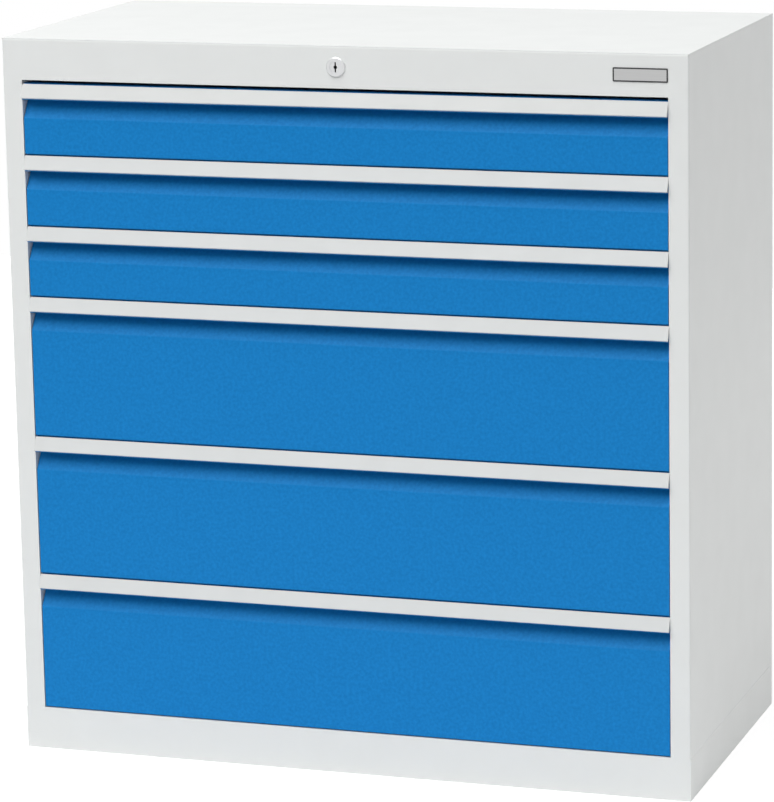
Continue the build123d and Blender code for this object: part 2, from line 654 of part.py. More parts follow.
# Hooked bar: one hook for each drawer, and an arm with the pin that the crossbar lifts
bar_y = (BAR_FRONT_Y, BAR_REAR_Y)
arm_edge = LINK_PIN_RADIUS + LINK_EDGE
catch_tip_x = BOX_HALF + RAIL_SHEET + CATCH_WIDTH
bar_bottom = BASES[-1] + GUIDE_LIFT - BAR_FOOT
with BuildPart() as lock_bar:
    block((BAR_INNER_X, BAR_OUTER_X), bar_y, (bar_bottom, LINK_PIN_Z + arm_edge))
    arm_x = (LINK_PIN_X - arm_edge, BAR_INNER_X)
    block(arm_x, bar_y, (LINK_PIN_Z - arm_edge, LINK_PIN_Z + arm_edge))
    for base in BASES:
        tab_z = (base + HOOK_BOTTOM, base + HOOK_BOTTOM + HOOK_TAB)
        block((catch_tip_x - HOOK_OVERLAP_X, BAR_INNER_X), bar_y, tab_z)
    with BuildSketch(facing_front(BAR_FRONT_Y)):
        with Locations((LINK_PIN_X, LINK_PIN_Z)):
            Circle(LINK_PIN_RADIUS)
    extrude(amount=BAR_FRONT_Y - CROSSBAR_FRONT_Y + PIN_PROUD)
save(lock_bar, "lock_bar")

# Guides: loops on the right side panel and on the top rail
guides = []
for base in (BASES[0], BASES[len(BASES) // 2], BASES[-1]):
    guide_bottom = base + GUIDE_LIFT
    loop_x = (BAR_INNER_X - GUIDE_PLAY, BAR_OUTER_X + GUIDE_PLAY)
    loop_y = (BAR_FRONT_Y - GUIDE_PLAY, BAR_REAR_Y + GUIDE_PLAY)
    guide_z = (guide_bottom, guide_bottom + GUIDE_HEIGHT)
    with BuildPart() as guide:
        outer_y = (loop_y[0] - GUIDE_WALL, loop_y[1] + GUIDE_WALL)
        block((loop_x[0] - GUIDE_WALL, SIDE_INNER), outer_y, guide_z)
        block(loop_x, loop_y, guide_z, mode=Mode.SUBTRACT)
    guides.append(guide)
for x in (GUIDE_FROM_LOCK, LINK_PIN_X - GUIDE_FROM_LINK):
    guide_x = (x - CROSSBAR_GUIDE_WIDTH / 2, x + CROSSBAR_GUIDE_WIDTH / 2)
    loop_y = (CROSSBAR_FRONT_Y - GUIDE_PLAY, CROSSBAR_REAR_Y + GUIDE_PLAY)
    loop_z = (crossbar_z[0] - GUIDE_PLAY, crossbar_z[1] + GUIDE_PLAY)
    with BuildPart() as guide:
        outer_y = (loop_y[0] - GUIDE_FOOT, loop_y[1] + GUIDE_WALL)
        block(guide_x, outer_y, (OPENING_TOP + SHEET, loop_z[1] + GUIDE_WALL))
        block(guide_x, loop_y, loop_z, mode=Mode.SUBTRACT)
    guides.append(guide)
save_group(guides, "lock_guides")

# Blank plate: a rim round a flat field
with BuildPart() as blank_plate:
    plate_x = OPENING_HALF - PLATE_INSET - PLATE_WIDTH / 2
    with BuildSketch(facing_front(FRONT_Y)):
        with Locations((plate_x, LOCK_Z)):
            RectangleRounded(PLATE_WIDTH, PLATE_HEIGHT, PLATE_CORNER)
    extrude(amount=PLATE_SHEET)
    with BuildSketch(facing_front(FRONT_Y - PLATE_SHEET)):
        with Locations((plate_x, LOCK_Z)):
            Rectangle(PLATE_WIDTH - 2 * PLATE_RIM, PLATE_HEIGHT - 2 * PLATE_RIM)
    extrude(amount=-PLATE_FIELD_DEPTH, mode=Mode.SUBTRACT)
save(blank_plate, "blank_plate")
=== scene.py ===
# %% [markdown]
# # A drawer cabinet of folded steel
#
# The real cabinet is a welded housing of powder-coated sheet steel with six drawers
# on ball runners. Its construction comes from CAD: every panel, rail and lock part
# is already here as a mesh, which keeps its shape. This lesson gives those meshes
# their finishes, adds the small things that CAD leaves out, such as bearing balls
# and screw heads, and sets up the light and the camera of a catalogue photograph.

# %% Load the cabinet
import json

import bpy
import numpy as np
from mathutils import Matrix, Vector


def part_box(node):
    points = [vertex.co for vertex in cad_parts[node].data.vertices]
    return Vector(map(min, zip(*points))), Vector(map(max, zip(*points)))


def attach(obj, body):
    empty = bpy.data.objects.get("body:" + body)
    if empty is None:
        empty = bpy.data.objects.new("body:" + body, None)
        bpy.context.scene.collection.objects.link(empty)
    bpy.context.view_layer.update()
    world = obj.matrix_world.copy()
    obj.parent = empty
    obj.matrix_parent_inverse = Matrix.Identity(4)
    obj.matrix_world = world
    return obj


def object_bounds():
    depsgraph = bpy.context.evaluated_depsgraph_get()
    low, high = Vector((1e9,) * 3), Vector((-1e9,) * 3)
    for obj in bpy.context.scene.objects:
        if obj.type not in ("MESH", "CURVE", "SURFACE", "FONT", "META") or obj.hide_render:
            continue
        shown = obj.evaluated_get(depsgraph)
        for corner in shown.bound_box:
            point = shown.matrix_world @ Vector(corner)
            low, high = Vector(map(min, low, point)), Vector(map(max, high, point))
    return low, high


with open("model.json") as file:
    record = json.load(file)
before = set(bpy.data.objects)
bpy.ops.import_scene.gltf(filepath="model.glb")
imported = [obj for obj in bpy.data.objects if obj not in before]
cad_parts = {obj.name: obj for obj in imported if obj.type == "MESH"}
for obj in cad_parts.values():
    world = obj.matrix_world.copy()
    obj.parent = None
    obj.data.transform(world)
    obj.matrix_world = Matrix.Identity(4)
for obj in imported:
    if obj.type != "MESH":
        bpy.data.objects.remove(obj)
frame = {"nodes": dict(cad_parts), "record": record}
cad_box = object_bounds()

MM = 0.001
nodes = frame["nodes"]
scene = bpy.context.scene
low, high = (np.array(corner) for corner in cad_box)
print("CAD nodes:", len(nodes), "size in mm:", np.round((high - low) / MM, 1))

# %% [markdown]
# ## Colours
#
# Paint makers and photographs give colours as sRGB hex values, but Blender's shaders
# count in linear light. One function translates, so that every colour in this file
# can be written the way an eye or a picture program reads it.


# %% One way to write a colour
def colour(hex_value):
    """Linear RGBA of an sRGB hex colour: divide by 255, then undo the display curve."""
    coded = np.array([int(hex_value[i:i + 2], 16) for i in (1, 3, 5)]) / 255
    linear = np.where(coded <= 0.04045, coded / 12.92, ((coded + 0.055) / 1.055) ** 2.4)
    return (*linear, 1.0)


print("light grey in linear light:", np.round(colour("#DDDFDE"), 3))

# %% [markdown]
# ## Camera
#
# A long lens from far away gives the calm, nearly parallel lines of the catalogue
# view. It could be placed by eye, but here its position and three angles were worked
# out from corners whose real sizes are known: the turn to the side, the look down and
# a slight roll. A small shift moves the frame on the film, so that the object sits
# where it does in the picture without tilting the verticals.

# %% Camera of the catalogue view
CAMERA_PLACE = (1.7374, -5.1019, 1.6413)
TURN, LOOK_DOWN, ROLL = np.radians((18.0258, 11.5502, -0.8805))
LENS_MM = 173.055
SHIFT = (-0.07855, -0.05112)

ahead = Vector((
    -np.sin(TURN) * np.cos(LOOK_DOWN),
    np.cos(TURN) * np.cos(LOOK_DOWN),
    -np.sin(LOOK_DOWN),
))
level_right = Vector((np.cos(TURN), np.sin(TURN), 0))
level_up = level_right.cross(ahead)
right = np.cos(ROLL) * level_right + np.sin(ROLL) * level_up
up = np.cos(ROLL) * level_up - np.sin(ROLL) * level_right

lens = bpy.data.cameras.new("catalogue_camera")
lens.lens = LENS_MM
lens.shift_x, lens.shift_y = SHIFT
camera = bpy.data.objects.new("catalogue_camera", lens)
camera_axes = Matrix((right, up, -ahead)).transposed().to_4x4()
camera.matrix_world = Matrix.Translation(CAMERA_PLACE) @ camera_axes
scene.collection.objects.link(camera)
scene.camera = camera
print("camera distance in m:", round(Vector(CAMERA_PLACE).length, 2))

# %% [markdown]
# ## Nodes with few words
#
# A procedural material is a small wiring plan. Writing out every node and every wire
# takes many lines, so one function adds a node, sets what is named and plugs in what
# is wired. A value that is a socket becomes a wire, and anything else a setting. A
# socket is named by its label, or by its number where a node has two of one label.


# %% One function for every node
def add_node(tree, kind, settings=None, **inputs):
    """Adds one node. Settings are its properties; inputs are values or wired sockets."""
    node = tree.nodes.new(kind)
    for name, value in (settings or {}).items():
        setattr(node, name, value)
    for name, value in inputs.items():
        key = int(name[1:]) if name[1:].isdigit() else name.replace("_", " ")
        if isinstance(value, bpy.types.NodeSocket):
            tree.links.new(value, node.inputs[key])
        else:
            node.inputs[key].default_value = value
    return node


def new_material(name):
    """An empty material, its wiring, its main shader and its object coordinates."""
    material = bpy.data.materials.new(name)
    material.use_nodes = True
    tree = material.node_tree
    tree.nodes.clear()
    shader = add_node(tree, "ShaderNodeBsdfPrincipled")
    output = add_node(tree, "ShaderNodeOutputMaterial", Surface=shader.outputs["BSDF"])
    output.is_active_output = True
    place = add_node(tree, "ShaderNodeTexCoord").outputs["Object"]
    return material, tree, shader, place


def mix_colours(tree, amount, first, second):
    """Colour between two others, by a number or a wired amount from 0 to 1."""
    settings = {"data_type": "RGBA", "clamp_factor": True}
    mixed = add_node(tree, "ShaderNodeMix", settings, i0=amount, i6=first, i7=second)
    return mixed.outputs[2]


# A noise texture gives values around 0.5 and rarely leaves this range.
NOISE_LOW, NOISE_HIGH = 0.3, 0.7
print("node helpers ready")

# %% [markdown]
# ## Powder coat
#
# The housing is dipped clean, sprayed with dry polyester powder and baked. The powder
# melts into a skin of about 0.08 mm that keeps a faint waviness, called orange peel,
# with waves 2 to 4 mm long. The light grey is a smooth satin coat, and the strips that
# the fingers grip have the same grey painted a shade darker, a painted shade that evens
# out the extra light on their upward-tilted faces. The blue of the drawer fronts is
# a fine-textured coat whose grain of about 1 mm is drawn 1.6 mm wide, in blotches of
# 4.5 mm, so that it shows in a picture of the whole cabinet. All could be plain
# colours, but then large panels look like paper. Two noises do the work here: one
# bends the surface a little, the other makes the colour and the gloss drift, by a
# percent on the greys and by up to a tenth on the blue. A polyester skin has an index
# of refraction near 1.5 and isn't metallic.


# %% One recipe for every powder coat
POLYESTER_IOR = 1.5
ROUGHNESS_DRIFT = 0.08


def powder_coat(name, tone, shade, wave_mm, wave_height_mm, cloud_mm, roughness, gloss):
    """Baked powder: colour drifts between tone and shade, bump follows the orange peel."""
    material, tree, shader, place = new_material(name)
    peel = add_node(
        tree, "ShaderNodeTexNoise", Vector=place, Scale=1 / (wave_mm * MM), Detail=2.0
    )
    cloud = add_node(
        tree, "ShaderNodeTexNoise", Vector=place, Scale=1 / (cloud_mm * MM), Detail=3.0
    )
    spread = add_node(
        tree, "ShaderNodeMapRange", Value=cloud.outputs["Fac"],
        From_Min=NOISE_LOW, From_Max=NOISE_HIGH,
    )
    tint = mix_colours(tree, spread.outputs["Result"], colour(tone), colour(shade))
    tree.links.new(tint, shader.inputs["Base Color"])
    shader.inputs["IOR"].default_value = POLYESTER_IOR
    shader.inputs["Specular IOR Level"].default_value = gloss
    dullness = add_node(
        tree, "ShaderNodeMapRange", Value=cloud.outputs["Fac"],
        To_Min=roughness, To_Max=roughness + ROUGHNESS_DRIFT,
    )
    tree.links.new(dullness.outputs["Result"], shader.inputs["Roughness"])
    bump = add_node(
        tree, "ShaderNodeBump", Strength=1.0,
        Distance=wave_height_mm * MM, Height=peel.outputs["Fac"],
    )
    tree.links.new(bump.outputs["Normal"], shader.inputs["Normal"])
    return material


# %% Coats of the housing, the fronts and the grip strips
grey_coat = powder_coat(
    "light_grey_polyester_powder_coat", "#DEE0DF", "#DCDEDD",
    wave_mm=3.0, wave_height_mm=0.02, cloud_mm=60, roughness=0.42, gloss=0.4,
)
blue_coat = powder_coat(
    "blue_textured_powder_coat", "#117EC4", "#0973B7",
    wave_mm=1.6, wave_height_mm=0.06, cloud_mm=4.5, roughness=0.52, gloss=0.14,
)
# The grip strips' grey is painted darker than the housing's: painted shade that evens out the
# extra light on their upward-tilted faces.
grip_coat_painted_darker = powder_coat(
    "grip_grey_powder_coat_painted_darker", "#CBCDCC", "#C8CAC9",
    wave_mm=3.0, wave_height_mm=0.02, cloud_mm=60, roughness=0.45, gloss=0.4,
)
print("powder coats:", grey_coat.name, blue_coat.name, grip_coat_painted_darker.name)

# %% [markdown]
# ## Seams of the housing
#
# The roof sheet lies on the walls and the walls stand on the plinth. Both joints are
# spot-welded and ground flush before coating, but the powder sinks into them by a few
# hundredths of a millimetre, and a hairline shows where light grazes the wall. The CAD
# mesh stays as it is, so the hairline is a groove in the bump: its depth falls off with
# the distance from the joint's height. A real one is 0.3 mm wide. It is drawn 4 mm wide
# and 0.5 mm deep, so that its lit lower lip and its shaded upper lip both show in a
# picture of the whole cabinet. The upper one runs round the roof. The lower one shows
# on the side walls alone, so a mask keeps it there.

# %% Where the coat sinks into a joint
SEAM_HALF = 2.0 * MM
SEAM_DEPTH = 0.5 * MM
ROOF_SHEET = 1.2 * MM
WALL_SKIN = 1.0 * MM
seam_heights = (high[2] - ROOF_SHEET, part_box("plinth")[1][2])
print("seams at heights in mm:", np.round(np.array(seam_heights) / MM, 1))

tree = grey_coat.node_tree
shader = next(node for node in tree.nodes if node.type == "BSDF_PRINCIPLED")
peel_bump = shader.inputs["Normal"].links[0].from_socket
place = next(node for node in tree.nodes if node.type == "TEX_COORD").outputs["Object"]
split = add_node(tree, "ShaderNodeSeparateXYZ", Vector=place)
gaps = []
for height in seam_heights:
    above = add_node(
        tree, "ShaderNodeMath", {"operation": "SUBTRACT"}, i0=split.outputs["Z"], i1=height
    )
    gap = add_node(
        tree, "ShaderNodeMath", {"operation": "ABSOLUTE"}, i0=above.outputs["Value"]
    )
    gaps.append(gap.outputs["Value"])
nearest = add_node(
    tree, "ShaderNodeMath", {"operation": "MINIMUM"}, i0=gaps[0], i1=gaps[1]
)
groove = add_node(
    tree, "ShaderNodeMapRange", {"interpolation_type": "SMOOTHSTEP"},
    Value=nearest.outputs["Value"], From_Min=0.0, From_Max=SEAM_HALF,
)

# %% The groove on the side walls and round the roof
sideways = add_node(
    tree, "ShaderNodeMath", {"operation": "ABSOLUTE"}, i0=split.outputs["X"]
)
on_side = add_node(
    tree, "ShaderNodeMath", {"operation": "GREATER_THAN"},
    i0=sideways.outputs["Value"], i1=high[0] - WALL_SKIN,
)
on_roof = add_node(
    tree, "ShaderNodeMath", {"operation": "GREATER_THAN"},
    i0=split.outputs["Z"], i1=high[2] / 2,
)
where = add_node(
    tree, "ShaderNodeMath", {"operation": "MAXIMUM"},
    i0=on_side.outputs["Value"], i1=on_roof.outputs["Value"],
)
sunk = add_node(
    tree, "ShaderNodeBump", Strength=where.outputs["Value"], Distance=SEAM_DEPTH,
    Height=groove.outputs["Result"], Normal=peel_bump,
)
tree.links.new(sunk.outputs["Normal"], shader.inputs["Normal"])
print("seams bumped on", grey_coat.name)

# %% [markdown]
# ## Zinc-plated steel
#
# Runner members, uprights and the lock's linkage are rolled or punched steel with a
# bright zinc plate of some 8 thousandths of a millimetre. The plate shows the mill's
# rolling lines, drawn here at about 1 mm so that they show at all, a cloudy change of
# gloss over a few centimetres, and a cool tint. Zinc is a metal, so metallic is 1, the
# colour is that of its reflection, and the index of refraction keeps its default.


# %% Zinc plate with rolling lines
LINE_WIDTH, LINE_LENGTH = 1.0 * MM, 120 * MM
ZINC_CLOUD = 30 * MM


def zinc_plate(name, along):
    """Plated steel: noise stretched along one axis gives rolling lines, noise gives clouds."""
    material, tree, shader, place = new_material(name)
    squeeze = [1 / LINE_WIDTH] * 3
    squeeze[along] = 1 / LINE_LENGTH
    line_place = add_node(tree, "ShaderNodeMapping", Vector=place, Scale=squeeze)
    lines = add_node(
        tree, "ShaderNodeTexNoise", Vector=line_place.outputs["Vector"], Scale=1.0, Detail=2.0
    )
    cloud = add_node(
        tree, "ShaderNodeTexNoise", Vector=place, Scale=1 / ZINC_CLOUD, Detail=4.0
    )
    spread = add_node(
        tree, "ShaderNodeMapRange", Value=cloud.outputs["Fac"],
        From_Min=NOISE_LOW, From_Max=NOISE_HIGH,
    )
    tint = mix_colours(tree, spread.outputs["Result"], colour("#C4C8CC"), colour("#B4BAC2"))
    tree.links.new(tint, shader.inputs["Base Color"])
    shader.inputs["Metallic"].default_value = 1.0
    dullness = add_node(
        tree, "ShaderNodeMapRange", Value=cloud.outputs["Fac"], To_Min=0.24, To_Max=0.46
    )
    tree.links.new(dullness.outputs["Result"], shader.inputs["Roughness"])
    bump = add_node(
        tree, "ShaderNodeBump", Strength=0.6, Distance=0.01 * MM, Height=lines.outputs["Fac"]
    )
    tree.links.new(bump.outputs["Normal"], shader.inputs["Normal"])
    return material


zinc_across = zinc_plate("zinc_plated_steel_rolled_across", along=0)
zinc_along_depth = zinc_plate("zinc_plated_steel_rolled_along_the_runner", along=1)
zinc_upright = zinc_plate("zinc_plated_steel_rolled_upright", along=2)
print("zinc finishes ready")

# %% [markdown]
# ## The cylinder lock
#
# Body and barrel are turned brass with a satin nickel plate, so their faces carry
# fine rings around the middle and a soft sheen that is a touch warmer than steel. The
# rings are drawn from the distance to the lock's axis: coordinates are moved to the
# lock, the depth is dropped, and a noise reads the distance alone. Real turning marks
# are 0.1 mm apart, which would only flicker, so they are drawn 0.6 mm apart. The keyway
# is a deep narrow slot that sends hardly any light back, so its shade is painted into
# the colour: near the axis the colour turns almost black with depth, a painted shade.

# %% Satin nickel with turning rings
RING_PITCH = 0.6 * MM
SMEAR_SIZE = 6 * MM
lock_low, lock_high = (np.array(corner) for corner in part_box("lock_body"))
lock_centre = (lock_low + lock_high) / 2
print("lock centre in mm:", np.round(lock_centre / MM, 1))

nickel, tree, shader, place = new_material("satin_nickel_plated_brass")
centred = add_node(
    tree, "ShaderNodeMapping", Vector=place, Location=(0, 0, -lock_centre[2]), Scale=(1, 0, 1)
)
distance = add_node(
    tree, "ShaderNodeVectorMath", {"operation": "LENGTH"}, i0=centred.outputs["Vector"]
)
rings = add_node(
    tree, "ShaderNodeTexNoise", {"noise_dimensions": "1D"},
    W=distance.outputs["Value"], Scale=1 / RING_PITCH, Detail=2.0,
)
smear = add_node(tree, "ShaderNodeTexNoise", Vector=place, Scale=1 / SMEAR_SIZE, Detail=2.0)
satin = mix_colours(tree, smear.outputs["Fac"], colour("#D4D5D6"), colour("#C9CACB"))
shader.inputs["Metallic"].default_value = 1.0
dullness = add_node(
    tree, "ShaderNodeMapRange", Value=rings.outputs["Fac"], To_Min=0.28, To_Max=0.42
)
tree.links.new(dullness.outputs["Result"], shader.inputs["Roughness"])
bump = add_node(
    tree, "ShaderNodeBump", Strength=0.5, Distance=0.01 * MM, Height=rings.outputs["Fac"]
)
tree.links.new(bump.outputs["Normal"], shader.inputs["Normal"])

# %% Painted shade in the keyway
KEYWAY_REACH = 7.2 * MM
KEYWAY_SHADE_START, KEYWAY_SHADE_FULL = 0.8 * MM, 2.0 * MM

depth = add_node(tree, "ShaderNodeSeparateXYZ", Vector=place).outputs["Y"]
painted_shade_depth = add_node(
    tree, "ShaderNodeMapRange", Value=depth,
    From_Min=lock_low[1] + KEYWAY_SHADE_START, From_Max=lock_low[1] + KEYWAY_SHADE_FULL,
)
near_axis = add_node(
    tree, "ShaderNodeMath", {"operation": "LESS_THAN"},
    i0=distance.outputs["Value"], i1=KEYWAY_REACH,
)
keyway_painted_shade = add_node(
    tree, "ShaderNodeMath", {"operation": "MULTIPLY"},
    i0=painted_shade_depth.outputs["Result"], i1=near_axis.outputs["Value"],
)
# Painted shade: deep in the keyway the colour goes almost black, standing for the shade of the
# narrow slot.
tint = mix_colours(tree, keyway_painted_shade.outputs["Value"], satin, colour("#0C0C0C"))
tree.links.new(tint, shader.inputs["Base Color"])
# The printed depth is where the painted shade begins.
print("nickel darkens below", KEYWAY_SHADE_START / MM, "mm inside the keyway")

# %% [markdown]
# ## Ball cages
#
# The retainers that space the bearing balls are moulded in black nylon. The mould is
# spark-eroded, which leaves a fine matt grain, and long flow over the thin strip
# leaves slightly glossier streaks. The grain is drawn 0.8 mm wide instead of 0.1.

# %% Moulded nylon
NYLON_IOR = 1.53
NYLON_GRAIN = 0.8 * MM
FLOW_WIDTH, FLOW_LENGTH = 5 * MM, 50 * MM

nylon, tree, shader, place = new_material("black_moulded_nylon")
grain = add_node(tree, "ShaderNodeTexNoise", Vector=place, Scale=1 / NYLON_GRAIN, Detail=2.0)
flow_place = add_node(
    tree, "ShaderNodeMapping", Vector=place,
    Scale=(1 / FLOW_WIDTH, 1 / FLOW_LENGTH, 1 / FLOW_WIDTH),
)
flow = add_node(
    tree, "ShaderNodeTexNoise", Vector=flow_place.outputs["Vector"], Scale=1.0, Detail=2.0
)
tint = mix_colours(tree, flow.outputs["Fac"], colour("#26272A"), colour("#323338"))
tree.links.new(tint, shader.inputs["Base Color"])
dullness = add_node(
    tree, "ShaderNodeMapRange", Value=flow.outputs["Fac"], To_Min=0.45, To_Max=0.65
)
tree.links.new(dullness.outputs["Result"], shader.inputs["Roughness"])
shader.inputs["IOR"].default_value = NYLON_IOR
bump = add_node(
    tree, "ShaderNodeBump", Strength=0.4, Distance=0.02 * MM, Height=grain.outputs["Fac"]
)
tree.links.new(bump.outputs["Normal"], shader.inputs["Normal"])
print("nylon ready")

# %% [markdown]
# ## The blank plate
#
# Beside the right jamb sits a small bare plate of anodised aluminium in a dark rim.
# Such plates are cut from brushed strip, so the brushing runs along their length. Its
# scratches of about 0.1 mm are drawn 0.5 mm wide. One material covers rim and field: it
# looks at how far a point lies from the plate's middle and paints the raised rim with
# black enamel.

# %% Anodised plate with an enamelled rim
plate_low, plate_high = (np.array(corner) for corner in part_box("blank_plate"))
plate_middle = (plate_low + plate_high) / 2
plate_half = (plate_high - plate_low) / 2
RIM_WIDTH = 1.8 * MM
RIM_SLACK = 0.02 * MM
SCRATCH_LENGTH, SCRATCH_WIDTH = 40 * MM, 0.5 * MM

plate_finish, tree, shader, place = new_material("brushed_anodised_aluminium_enamelled_rim")
centred = add_node(tree, "ShaderNodeMapping", Vector=place, Location=tuple(-plate_middle))
split = add_node(tree, "ShaderNodeSeparateXYZ", Vector=centred.outputs["Vector"])
edge_masks = []
for axis, half in (("X", plate_half[0]), ("Z", plate_half[2])):
    reach = add_node(tree, "ShaderNodeMath", {"operation": "ABSOLUTE"}, i0=split.outputs[axis])
    beyond = add_node(
        tree, "ShaderNodeMath", {"operation": "GREATER_THAN"},
        i0=reach.outputs["Value"], i1=half - RIM_WIDTH - RIM_SLACK,
    )
    edge_masks.append(beyond.outputs["Value"])
rim = add_node(
    tree, "ShaderNodeMath", {"operation": "MAXIMUM"}, i0=edge_masks[0], i1=edge_masks[1]
)
brush_place = add_node(
    tree, "ShaderNodeMapping", Vector=place, Scale=(1 / SCRATCH_LENGTH, 1, 1 / SCRATCH_WIDTH)
)
brush = add_node(
    tree, "ShaderNodeTexNoise", Vector=brush_place.outputs["Vector"], Scale=1.0, Detail=2.0
)
silver = mix_colours(tree, brush.outputs["Fac"], colour("#B4B5B5"), colour("#AAAAAA"))
tint = mix_colours(tree, rim.outputs["Value"], silver, colour("#1C1D20"))
tree.links.new(tint, shader.inputs["Base Color"])
metal = add_node(
    tree, "ShaderNodeMath", {"operation": "SUBTRACT"}, i0=1.0, i1=rim.outputs["Value"]
)
tree.links.new(metal.outputs["Value"], shader.inputs["Metallic"])
dullness = add_node(
    tree, "ShaderNodeMapRange", Value=brush.outputs["Fac"], To_Min=0.3, To_Max=0.5
)
tree.links.new(dullness.outputs["Result"], shader.inputs["Roughness"])
bump = add_node(
    tree, "ShaderNodeBump", Strength=0.4, Distance=0.01 * MM, Height=brush.outputs["Fac"]
)
tree.links.new(bump.outputs["Normal"], shader.inputs["Normal"])
print("plate size in mm:", np.round(2 * plate_half / MM, 1))

# %% [markdown]
# ## Dressing the CAD nodes
#
# Each CAD node already names the finish that it has in the record, as a material
# slot. Reading the slot is safer than a list of names. Only two finishes need a second
# look: the grip strips get the grey painted darker, a painted shade, and the rolling
# lines in the zinc run along the runners, up the posts and across the crossbar.

# %% Give every node its finish
DRAWERS = range(1, 7)
finish_of_slot = {
    "grey_powder_coat": grey_coat,
    "blue_powder_coat": blue_coat,
    "zinc_plated_steel": zinc_along_depth,
    "cage_plastic": nylon,
    "satin_nickel": nickel,
    "anodised_aluminium": plate_finish,
}
finish_of_node = {
    "slotted_uprights": zinc_upright,
    "lock_bar": zinc_upright,
    "lock_crossbar": zinc_across,
    # The grip strips take the grey painted darker, a painted shade.
    **{f"drawer_{number}_grip": grip_coat_painted_darker for number in DRAWERS},
}
for subpart in frame["record"]["subparts"]:
    name = subpart["node"]
    finish = finish_of_node.get(name, finish_of_slot[subpart["material_slot"]])
    mesh = nodes[name].data
    mesh.materials.clear()
    mesh.materials.append(finish)
    mesh.shade_flat()

# %% [markdown]
# ## Surfaces from arrays
#
# The pieces that follow are turned parts: balls and screw heads. Each is a profile
# swept once around an axis. Blender could spin a curve, but a grid of points that
# numpy works out in one go is quicker, closes exactly at the seam, and can be copied
# to many places by adding an offset to all points at once.


# %% Turned shapes as numpy grids
def turned(radii, heights, steps):
    """Points and faces of a turned shape: each profile point goes round the local z axis.

    Point (i, j) is (radius[i] cos a, radius[i] sin a, height[i]) with a = 2 pi j / steps.
    The first and last profile points lie on the axis and become single poles.
    """
    angle = 2 * np.pi * np.arange(steps) / steps
    ring = np.stack([np.cos(angle), np.sin(angle)], -1)
    inner = np.concatenate([
        np.asarray(radii)[1:-1, None, None] * ring,
        np.broadcast_to(np.asarray(heights)[1:-1, None, None], (len(radii) - 2, steps, 1)),
    ], -1).reshape(-1, 3)
    points = np.vstack([[[0, 0, heights[0]]], inner, [[0, 0, heights[-1]]]])
    j = np.arange(steps)
    k = (j + 1) % steps
    rows = 1 + steps * np.arange(len(radii) - 3)[:, None]
    quads = np.stack([rows + j, rows + k, rows + steps + k, rows + steps + j], -1)
    last = 1 + steps * (len(radii) - 3)
    start_fan = np.stack([np.zeros(steps, int), 1 + k, 1 + j], -1)
    end_fan = np.stack([np.full(steps, len(points) - 1), last + j, last + k], -1)
    return points, [*quads.reshape(-1, 4).tolist(), *start_fan.tolist(), *end_fan.tolist()]


def copies(points, faces, places):
    """The same shape at many places: offsets added to points, indices raised to match."""
    all_points = (points[None] + places[:, None]).reshape(-1, 3)
    raises = len(points) * np.arange(len(places))
    all_faces = [
        [index + more for index in face] for more in raises.tolist() for face in faces
    ]
    return all_points, all_faces


def piece(name, points, faces, material, body, smooth=True):
    """A mesh object at the origin that rides on one body and carries the finish it is given.
    """
    mesh = bpy.data.meshes.new(name)
    mesh.from_pydata(points.tolist(), [], faces)
    mesh.polygons.foreach_set("use_smooth", [smooth] * len(mesh.polygons))
    mesh.materials.append(material)
    made = bpy.data.objects.new(name, mesh)
    scene.collection.objects.link(made)
    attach(made, body)
    return made


print("surface helpers ready")

# %% [markdown]
# ## Bearing balls
#
# Each runner carries two rows of hardened steel balls above and below its middle
# member, and two more inside it, held 15 mm apart by the nylon cages. They gleam when a
# drawer is open. A ball is a half circle turned round an axis. With nearly six hundred
# of them, eight steps round and six down are enough for each. The balls of one pair of
# cages are one mesh, and it rides on the cages, which move a quarter or three quarters
# as far as the drawer.

# %% Polished steel under a film of oil
OIL_PATCH = 4 * MM

ball_steel, tree, shader, place = new_material("polished_bearing_steel")
oil = add_node(tree, "ShaderNodeTexNoise", Vector=place, Scale=1 / OIL_PATCH, Detail=2.0)
tint = mix_colours(tree, oil.outputs["Fac"], colour("#D6D7D8"), colour("#C2C3C5"))
tree.links.new(tint, shader.inputs["Base Color"])
shader.inputs["Metallic"].default_value = 1.0
dullness = add_node(
    tree, "ShaderNodeMapRange", Value=oil.outputs["Fac"], To_Min=0.08, To_Max=0.2
)
tree.links.new(dullness.outputs["Result"], shader.inputs["Roughness"])
print("bearing steel ready")

# %% One ball
BALL_RADIUS = 1.95 * MM
STEPS_ROUND, STEPS_DOWN = 8, 6

latitude = np.linspace(-np.pi / 2, np.pi / 2, STEPS_DOWN + 1)
ball_points, ball_faces = turned(
    BALL_RADIUS * np.cos(latitude), BALL_RADIUS * np.sin(latitude), STEPS_ROUND
)
print("faces of a ball:", len(ball_faces))

# %% Balls on their cages
# A row's distance in from the carriage's outer face, and up or down from its middle.
BALL_ROWS = {"outer": (1.95 * MM, 17.5 * MM), "inner": (6.9 * MM, 12.0 * MM)}
BALL_PITCH = 15 * MM

ball_total = 0
for number in DRAWERS:
    carriage_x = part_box(f"drawer_{number}_carriage")[1][0]
    for kind, (inset, row_z) in BALL_ROWS.items():
        row_x = carriage_x - inset
        cage = f"drawer_{number}_{kind}_cages"
        cage_low, cage_high = (np.array(corner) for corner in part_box(cage))
        middle_z = (cage_low[2] + cage_high[2]) / 2
        along = np.arange(cage_low[1] + BALL_PITCH / 2, cage_high[1], BALL_PITCH)
        x, y, z = np.meshgrid((-row_x, row_x), along, (middle_z - row_z, middle_z + row_z))
        places = np.stack([x.ravel(), y.ravel(), z.ravel()], -1)
        points, faces = copies(ball_points, ball_faces, places)
        piece(
            f"drawer_{number}_{kind}_balls", points, faces, ball_steel,
            body=f"{kind}_cages_{number}",
        )
        ball_total += len(places)
print("balls:", ball_total)

